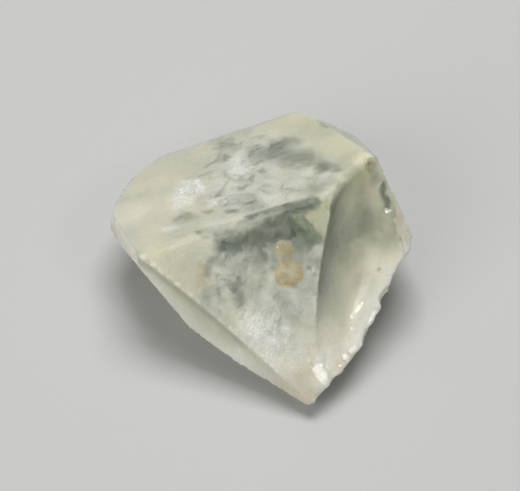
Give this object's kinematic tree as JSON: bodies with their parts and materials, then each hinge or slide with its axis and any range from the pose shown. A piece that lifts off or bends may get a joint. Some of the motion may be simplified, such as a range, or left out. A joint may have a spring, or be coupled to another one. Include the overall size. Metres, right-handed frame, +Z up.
{
  "type": "topaz crystal",
  "caption": "Pale cloudy topaz crystal fragment: a thick wedge with flat crystal faces, a shell-shaped fracture hollow, chipped lower lip and a flat cleavage face to rest on.",
  "frame": {"origin": "middle of the footprint, on the plane of the cleavage face that the crystal rests on", "axes": "+Z up from the cleavage face, -Y towards the broad sloping front face, +X towards the side with the fracture hollow"},
  "size_m": [0.034, 0.0344, 0.0184],
  "materials": {
    "topaz": "cloudy and translucent, with smooth natural faces and glassy fractures"
  },
  "bodies": {
    "root": {"topaz_crystal": "topaz"}
  },
  "joints": []
}
